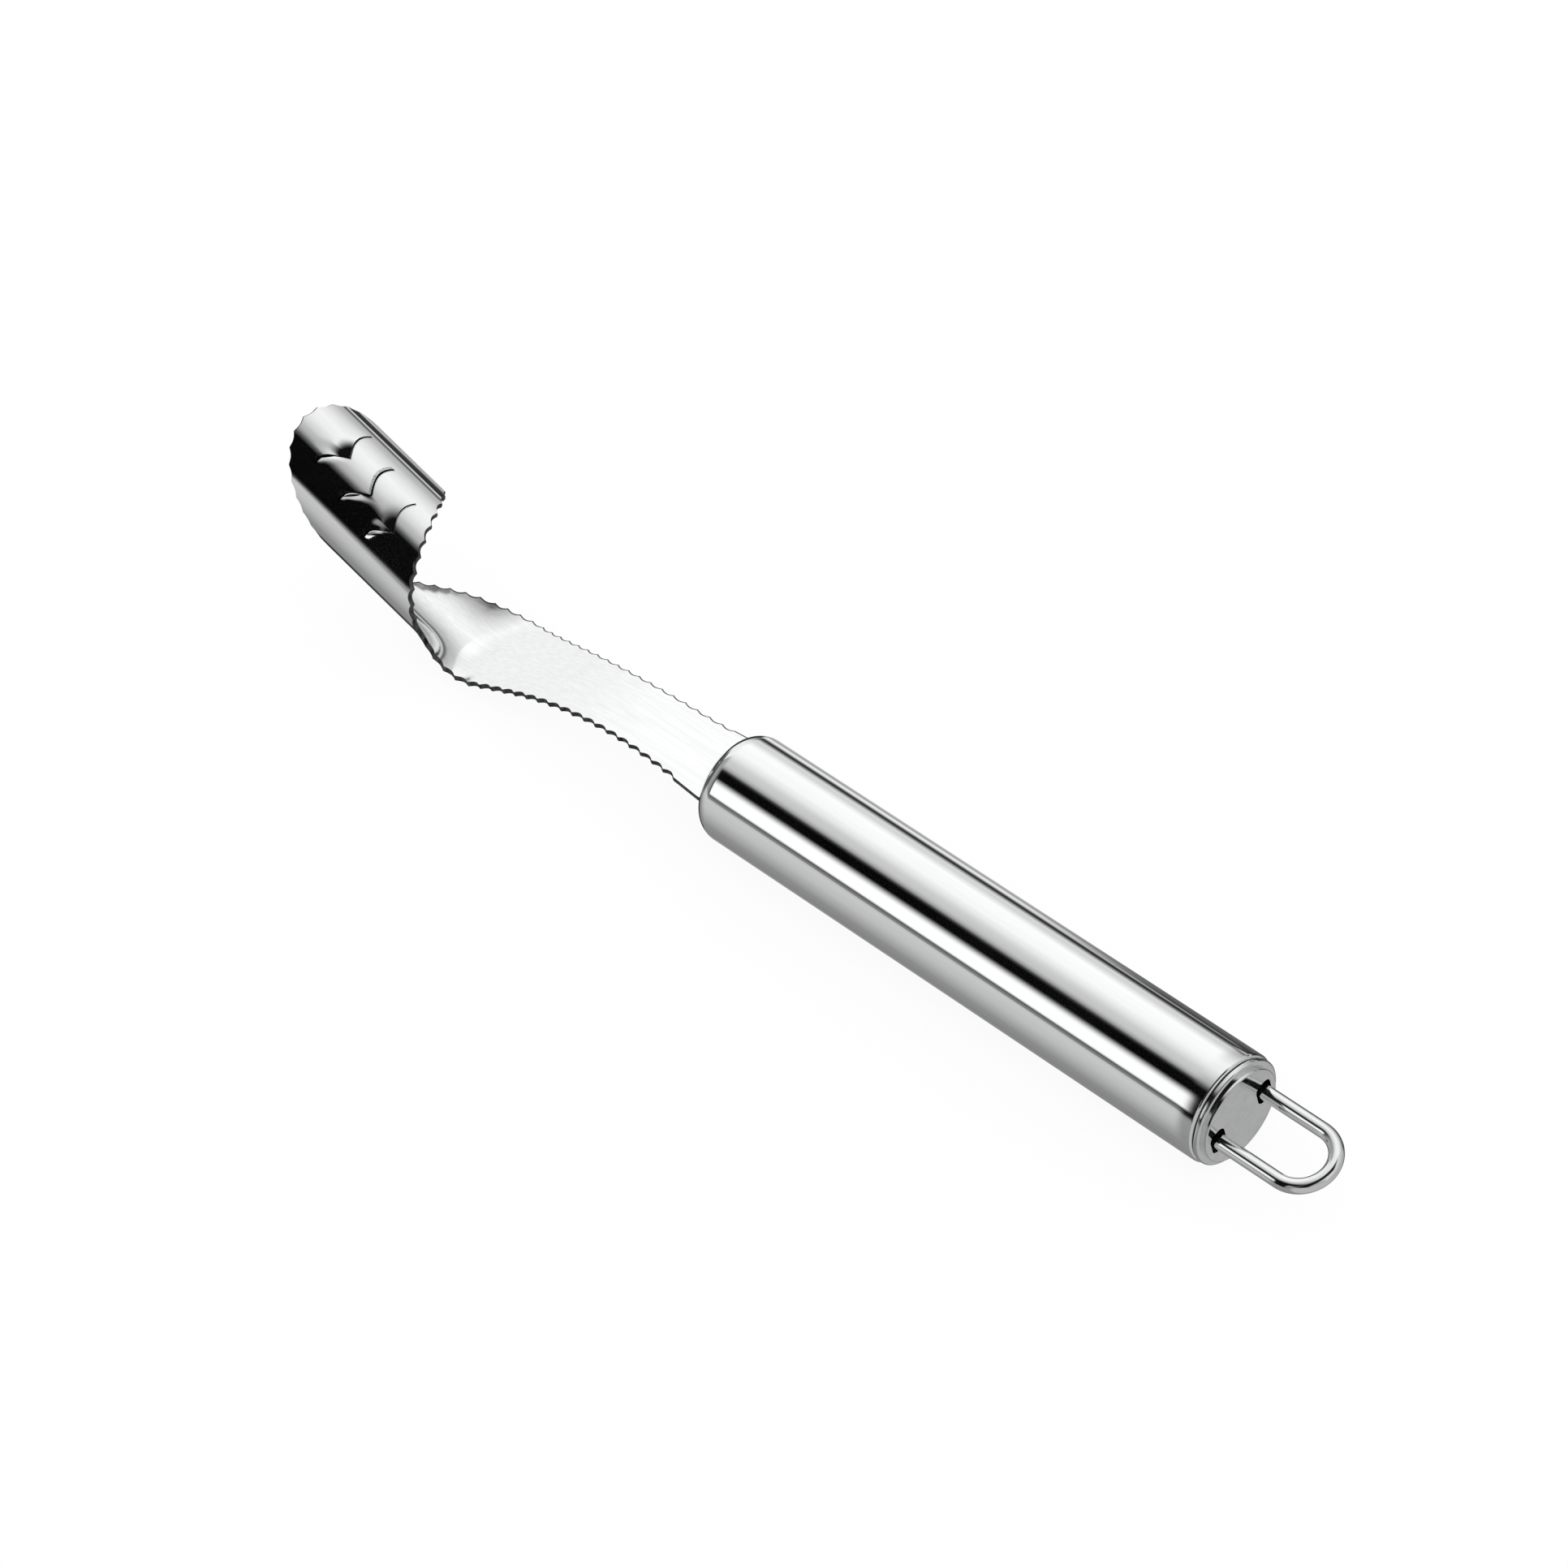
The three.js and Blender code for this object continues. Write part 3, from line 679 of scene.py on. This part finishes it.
def buildHandle():
    front, rim = handle["frontRounding"], handle["rimRounding"]
    bore = handleRadius - handle["wall"]
    inner = front - handle["frontWall"]
    rearX, rings = rim - handle["length"], handle["bodyRings"]
    profile = [(0, 0)] + [(0, radius) for radius in handle["frontRings"]]
    profile += roundedCorner(-front, handleRadius - front, front, 90, 0, handle["frontSteps"])
    profile += [(lerp(-front, rearX, i / rings), handleRadius) for i in range(1, rings)]
    profile += roundedCorner(rearX, handleRadius - rim, rim, 0, -90, handle["rimSteps"])
    profile += [(-handle["length"], bore)]
    boreX = -handle["frontWall"] - inner
    profile += roundedCorner(boreX, bore - inner, inner, 0, 90, handle["boreSteps"])
    profile += [(-handle["frontWall"], 0)]
    points, faces = turned(profile, handle["sides"])
    piece = makePiece("handleTube", points, faces, [polishedSteel])
    slotWidth = 2 * (stripHalf(0) + blade["toothDepth"] + handle["slotClearance"])
    slotHeight = blade["thickness"] + 2 * handle["slotClearance"]
    slotDepth = 2 * (front + handle["frontWall"])
    cutSlots(piece, [((0, 0, blade["rise"]), (slotDepth, slotWidth, slotHeight), 0, 0)])
    smoothShade(piece, handle["sharpAngle"])
    seat(piece, "tool", "handle_tube")
    print("turned the handle")


# The rear end is rolled about the handle's axis: cap and loop
rearEnd = {
    "roll": -13, "wireDiameter": 2.5, "loopSpacing": 10.7,
    "slotClearance": 0.35, "slotRoom": 1, "slotCorner": 1.2, "sharpAngle": 35,
}
cap = {
    "seam": 0.3, "flange": 0.8, "flangeInset": 0.3, "flangeRounding": 0.4, "proud": 0.8,
    "faceInset": 1.1, "edgeRounding": 0.2, "skirtRadius": 8.2, "skirtLength": 6, "skirtWall": 0.7,
    "sides": 128, "faceRing": 3, "edgeSteps": 6, "rimSteps": 10,
}
loop = {
    "reach": 20.2, "footLength": 1.4, "footBend": 2.2, "footGap": 0.5,
    "sides": 28, "bendSteps": 12, "legSteps": 12, "crownSteps": 32,
}


def buildCap():
    flangeFront = -handle["length"] - cap["seam"]
    flangeRear = flangeFront - cap["flange"]
    face = flangeRear - cap["proud"]
    flangeRadius = handleRadius - cap["flangeInset"]
    faceRadius = flangeRadius - cap["faceInset"]
    skirt, inside = cap["skirtRadius"], cap["skirtRadius"] - cap["skirtWall"]
    skirtFront = flangeFront + cap["skirtLength"]
    edge, rim = cap["edgeRounding"], cap["flangeRounding"]
    profile = [(face, 0), (face, cap["faceRing"])]
    profile += roundedCorner(face + edge, faceRadius - edge, edge, -90, 0, cap["edgeSteps"])
    profile += [(flangeRear, faceRadius)]
    profile += roundedCorner(flangeRear + rim, flangeRadius - rim, rim, -90, 0, cap["rimSteps"])
    profile += [(flangeFront, flangeRadius), (flangeFront, skirt), (skirtFront, skirt),
                (skirtFront, inside), (flangeFront, inside), (flangeFront, 0)]
    points, faces = turned(profile, cap["sides"])
    piece = makePiece("endCap", points, faces, [capSteel])
    wire, corner, roll = rearEnd["wireDiameter"], rearEnd["slotCorner"], rearEnd["roll"]
    size = (4 * (cap["flange"] + cap["proud"]),
            wire + 2 * rearEnd["slotClearance"], wire + 2 * rearEnd["slotRoom"])
    legs = [rearEnd["loopSpacing"] / 2 * side for side in (-1, 1)]
    cutSlots(piece, [((flangeRear, leg, 0), size, corner, roll) for leg in legs])
    smoothShade(piece, rearEnd["sharpAngle"])
    seat(piece, "tool", "end_cap")
    print("pressed the end cap")


# Half of the loop's centre line, from the foot behind the cap to the middle of the crown
def loopHalf():
    half, wire = rearEnd["loopSpacing"] / 2, rearEnd["wireDiameter"] / 2
    footX = -handle["length"] - cap["seam"] + loop["footGap"] + wire
    bend = loop["footBend"]
    crownX = -handle["length"] - loop["reach"] + wire + half
    line = [Vector((footX, half - bend - loop["footLength"], 0))]
    steps = loop["bendSteps"]
    for i in range(steps + 1):
        angle = 90 * degree * i / steps
        along, across = bend * math.cos(angle), bend * math.sin(angle)
        line.append(Vector((footX - bend + along, half - bend + across, 0)))
    steps = loop["legSteps"]
    line += [Vector((lerp(footX - bend, crownX, i / steps), half, 0)) for i in range(1, steps)]
    steps = loop["crownSteps"]
    for i in range(steps + 1):
        angle = 90 * degree * i / steps
        line.append(Vector((crownX - half * math.sin(angle), half * math.cos(angle), 0)))
    return line


def buildLoop():
    nearHalf = loopHalf()
    line = nearHalf + [Vector((point.x, -point.y, 0)) for point in reversed(nearHalf[:-1])]
    sides, radius = loop["sides"], rearEnd["wireDiameter"] / 2
    turnOver = Matrix.Rotation(rearEnd["roll"] * degree, 3, "X")
    points, faces = [], []
    for i, point in enumerate(line):
        along = (line[min(i + 1, len(line) - 1)] - line[max(i - 1, 0)]).normalized()
        across = Vector((-along.y, along.x, 0))
        for j in range(sides):
            angle = 2 * math.pi * j / sides
            ring = point + (across * math.cos(angle) + Vector((0, 0, 1)) * math.sin(angle)) * radius
            points.append(turnOver @ ring)
    for i in range(len(line) - 1):
        for j in range(sides):
            k = (j + 1) % sides
            faces.append((i * sides + j, i * sides + k, (i + 1) * sides + k, (i + 1) * sides + j))
    last = (len(line) - 1) * sides
    faces.append(tuple(range(sides)))
    faces.append(tuple(last + j for j in reversed(range(sides))))
    piece = makePiece("wireLoop", points, faces, [wireSteel])
    smoothShade(piece, rearEnd["sharpAngle"])
    seat(piece, "loop", "hanging_loop")
    print("bent the hanging loop")


buildBlade()
buildHandle()
buildCap()
buildLoop()

# The hidden plug keeps its solid and only gets its steel
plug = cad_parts["tang_plug"]
plug.data.materials.clear()
plug.data.materials.append(plugSteel)
print("gave the plug its steel")

# Stage: a pale floor that the camera sees as white, with a faint shadow kept in it
stage = {"floorSize": 8, "floorTone": 0.72, "shadowShare": 0.15, "whiteLevel": 1.07}


def buildFloor():
    half = stage["floorSize"] / 2
    mesh = bpy.data.meshes.new("floor")
    corners = [(-half, -half, 0), (half, -half, 0), (half, half, 0), (-half, half, 0)]
    mesh.from_pydata(corners, [], [(0, 1, 2, 3)])
    floor = bpy.data.objects.new("floor", mesh)
    bpy.context.scene.collection.objects.link(floor)
    material = bpy.data.materials.new("paleFloor")
    material.use_nodes = True
    tree = material.node_tree
    tree.nodes.clear()
    output = addNode(tree, "ShaderNodeOutputMaterial", 600, 0)
    mix = addNode(tree, "ShaderNodeMixShader", 400, 0)
    paint = addNode(tree, "ShaderNodeBsdfDiffuse", 100, -100)
    paint.inputs["Color"].default_value = grey(stage["floorTone"])
    white = addNode(tree, "ShaderNodeEmission", 100, -250)
    white.inputs["Strength"].default_value = stage["whiteLevel"]
    rays = addNode(tree, "ShaderNodeLightPath", -300, 200)
    camera = addNode(tree, "ShaderNodeMath", -100, 250, operation="MULTIPLY")
    camera.inputs[1].default_value = 1 - stage["shadowShare"]
    tree.links.new(rays.outputs["Is Camera Ray"], camera.inputs[0])
    tree.links.new(camera.outputs[0], mix.inputs["Fac"])
    tree.links.new(paint.outputs[0], mix.inputs[1])
    tree.links.new(white.outputs[0], mix.inputs[2])
    tree.links.new(mix.outputs[0], output.inputs["Surface"])
    mesh.materials.append(material)
    floor.visible_glossy = False


# World: a white tent along the tool, open to a dark gap on the near side with one low white panel
# in it, and dark round the camera. Angles run over the tool from the near horizon, in degrees, and
# on under it; levels are as bright as the steel should show them; the rest are shares of a
# direction along the tool. The handle looks further forward than the head, into the other end
tent = {
    "forward": [
        (-90, 0.25), (-63, 0.3), (-45, 0.43), (-27, 0.57), (-9, 0.64), (-2, 0.62), (1, 0.22),
        (5, 0.2), (7, 0.002), (60, 0.002), (64, 0.05), (69, 0.4), (75, 0.61), (87, 0.69),
        (99, 0.91), (111, 1.06), (140, 1.12), (147, 0.95), (153, 0.8), (159, 0.72), (164, 0.8),
        (171, 0.3), (175, 0.03), (182, 0.05), (187, 0.6), (193, 0.98), (198, 0.8), (203, 0.42),
        (208, 0.36), (219, 0.55), (255, 0.3), (270, 0.25)],
    "middle": [
        (-90, 0.27), (-45, 0.3), (-10, 0.33), (-4, 0.28), (-1, 0.05), (3, 0.002), (58, 0.002),
        (64, 0.12), (68, 0.3), (73, 0.48), (80, 0.58), (88, 0.76), (103, 0.96), (118, 1.03),
        (133, 0.9), (147, 0.7), (154, 0.56), (163, 0.5), (167, 0.12), (170, 0.1), (173, 0.7),
        (175, 0.7), (178, 0.02), (188, 0.04), (205, 0.13), (225, 0.15), (250, 0.27), (270, 0.27)],
    "forwardFrom": (0.395, 0.43), "farShift": -0.05, "farFrom": (183, 190),
    "panelAngles": (6, 12, 30, 46), "panelLength": (0.37, 0.42, 0.57, 0.62), "panelLevel": 1.14,
    "frontFrom": (0.54, 0.84), "frontAbove": (95, 105), "frontLevel": 0.97,
    "greyFrom": (-4, 2), "greyLevel": 0.36,
    "outlineFrom": (0.9, 0.96), "outlineLevel": 0.1,
    "underFrom": (0.56, 0.62), "underBelow": (182, 190), "underLevel": 0.04,
    "gapAngles": (-2, 2, 34, 44), "gapFrom": (0.03, -0.05), "gapLevel": 0.3,
    "rearFrom": (-0.15, -0.35), "rearLevel": 0.62, "rearShare": 0.7,
    "cameraSide": (20, 28, 112, 122), "cameraFrom": (-0.08, -0.36), "cameraTo": (-0.8, -0.62),
    "cameraLevel": 0.004, "plainLevel": 0.9,
}
colourA, colourB, colourOut = 6, 7, 2  # a mix node's colour sockets


def buildWorld():
    world = bpy.data.worlds.new("lightTent")
    bpy.context.scene.world = world
    world.use_nodes = True
    tree = world.node_tree
    tree.nodes.clear()
    link = tree.links.new
    place = addNode(tree, "ShaderNodeTexCoord", -1600, 0)
    parts = addNode(tree, "ShaderNodeSeparateXYZ", -1400, 0)
    link(place.outputs["Generated"], parts.inputs[0])
    farther = addNode(tree, "ShaderNodeMath", -1200, -100, operation="MULTIPLY")
    farther.inputs[1].default_value = -1
    link(parts.outputs["Y"], farther.inputs[0])
    over = addNode(tree, "ShaderNodeMath", -1000, 0, operation="ARCTAN2")
    link(farther.outputs[0], over.inputs[0])
    link(parts.outputs["Z"], over.inputs[1])
    turn = addNode(tree, "ShaderNodeMath", -800, 0, operation="MULTIPLY_ADD")
    link(over.outputs[0], turn.inputs[0])
    turn.inputs[1].default_value = 0.5 / math.pi
    turn.inputs[2].default_value = 0.5
    around, along = turn.outputs[0], parts.outputs["X"]

    def onRamp(angle):
        return (angle + 90) / 360

    def arch(stops, y):
        node = addNode(tree, "ShaderNodeValToRGB", -600, y)
        ramp = node.color_ramp
        while len(ramp.elements) < len(stops):
            ramp.elements.new(0.5)
        for element, (angle, level) in zip(ramp.elements, stops):
            element.position = onRamp(angle)
            element.color = grey(level)
        link(around, node.inputs["Fac"])
        return node.outputs["Color"]

    def step(source, low, high, y):
        node = addNode(tree, "ShaderNodeMapRange", -600, y, interpolation_type="SMOOTHSTEP")
        node.inputs["From Min"].default_value = low
        node.inputs["From Max"].default_value = high
        link(source, node.inputs["Value"])
        return node.outputs["Result"]

    def stepAround(low, high, y):
        return step(around, onRamp(low), onRamp(high), y)

    # Rises between the first two angles and falls between the last two
    def spanAround(angles, y):
        a0, a1, a2, a3 = angles
        return times(stepAround(a0, a1, y), stepAround(a3, a2, y - 60), y - 30)

    def times(first, second, y):
        node = addNode(tree, "ShaderNodeMath", -350, y, operation="MULTIPLY")
        link(first, node.inputs[0])
        link(second, node.inputs[1])
        return node.outputs[0]

    def toLevel(base, factor, level, x):
        node = addNode(tree, "ShaderNodeMix", x, 100, data_type="RGBA")
        link(factor, node.inputs["Factor"])
        link(base, node.inputs[colourA])
        node.inputs[colourB].default_value = grey(level)
        return node.outputs[colourOut]

    ends = addNode(tree, "ShaderNodeMix", -300, 300, data_type="RGBA")
    shifted = addNode(tree, "ShaderNodeMath", -500, 600, operation="MULTIPLY_ADD")
    link(stepAround(*tent["farFrom"], 620), shifted.inputs[0])
    shifted.inputs[1].default_value = tent["farShift"]
    link(along, shifted.inputs[2])
    link(step(shifted.outputs[0], *tent["forwardFrom"], 500), ends.inputs["Factor"])
    link(arch(tent["middle"], 700), ends.inputs[colourA])
    link(arch(tent["forward"], 300), ends.inputs[colourB])
    seen = ends.outputs[colourOut]

    # The front end: white above, grey below
    front = step(along, *tent["frontFrom"], 100)
    frontAbove = times(front, stepAround(*tent["frontAbove"], 0), 50)
    seen = toLevel(seen, frontAbove, tent["frontLevel"], -100)
    below = stepAround(*reversed(tent["frontAbove"]), -120)
    frontBelow = times(stepAround(*tent["greyFrom"], -80), below, -100)
    seen = toLevel(seen, times(front, frontBelow, -60), tent["greyLevel"], 0)

    # The low white panel in the gap
    x0, x1, x2, x3 = tent["panelLength"]
    length = times(step(along, x0, x1, -320), step(along, x3, x2, -380), -350)
    panel = times(spanAround(tent["panelAngles"], -200), length, -290)
    seen = toLevel(seen, panel, tent["panelLevel"], 100)

    # Behind the head the gap is grey, and the rear end is dimmer
    gap = times(spanAround(tent["gapAngles"], -920), step(along, *tent["gapFrom"], -1040), -1010)
    seen = toLevel(seen, gap, tent["gapLevel"], 150)
    rear = addNode(tree, "ShaderNodeMath", -350, -440, operation="MULTIPLY")
    link(step(along, *tent["rearFrom"], -440), rear.inputs[0])
    rear.inputs[1].default_value = tent["rearShare"]
    seen = toLevel(seen, rear.outputs[0], tent["rearLevel"], 200)

    # Dark round the camera, at the far front end and under the front
    fromHere, toThere = step(along, *tent["cameraFrom"], -620), step(along, *tent["cameraTo"], -680)
    length = times(fromHere, toThere, -650)
    camera = times(spanAround(tent["cameraSide"], -500), length, -590)
    seen = toLevel(seen, camera, tent["cameraLevel"], 300)
    seen = toLevel(seen, step(along, *tent["outlineFrom"], -740), tent["outlineLevel"], 400)
    below = stepAround(*tent["underBelow"], -860)
    under = times(step(along, *tent["underFrom"], -800), below, -830)
    seen = toLevel(seen, under, tent["underLevel"], 500)

    # The tent shows in the steel; the camera sees white, and the floor gets plain even light
    rays = addNode(tree, "ShaderNodeLightPath", 400, 500)
    plain = addNode(tree, "ShaderNodeMix", 600, 400, data_type="RGBA")
    plain.inputs[colourA].default_value = grey(tent["plainLevel"])
    plain.inputs[colourB].default_value = grey(1)
    link(rays.outputs["Is Camera Ray"], plain.inputs["Factor"])
    pick = addNode(tree, "ShaderNodeMix", 800, 200, data_type="RGBA")
    link(rays.outputs["Is Glossy Ray"], pick.inputs["Factor"])
    link(plain.outputs[colourOut], pick.inputs[colourA])
    link(seen, pick.inputs[colourB])
    background = addNode(tree, "ShaderNodeBackground", 1000, 200)
    output = addNode(tree, "ShaderNodeOutputWorld", 1200, 200)
    link(pick.outputs[colourOut], background.inputs["Color"])
    link(background.outputs[0], output.inputs["Surface"])


buildFloor()
buildWorld()
print("set the stage")

# Camera: above and behind the near side of the handle, with a long lens
view = {
    "place": (-460.65, 422.73, 617.91), "aim": (-7.04, -5.06, 0), "roll": -3.55,
    "lens": 125.6, "sensor": 36, "clip": (0.05, 50),
}


def buildCamera():
    data = bpy.data.cameras.new("camera")
    data.lens = view["lens"]
    data.sensor_width = view["sensor"]
    data.clip_start, data.clip_end = view["clip"]
    camera = bpy.data.objects.new("camera", data)
    bpy.context.scene.collection.objects.link(camera)
    place = toolOrigin + Vector(view["place"]) * mm
    aim = toolOrigin + Vector(view["aim"]) * mm
    level = (aim - place).to_track_quat("-Z", "Y").to_matrix().to_4x4()
    roll = Matrix.Rotation(view["roll"] * degree, 4, "Z")
    camera.matrix_world = Matrix.Translation(place) @ level @ roll
    bpy.context.scene.camera = camera


buildCamera()
bpy.context.scene.view_settings.view_transform = "Standard"
print("placed the camera")
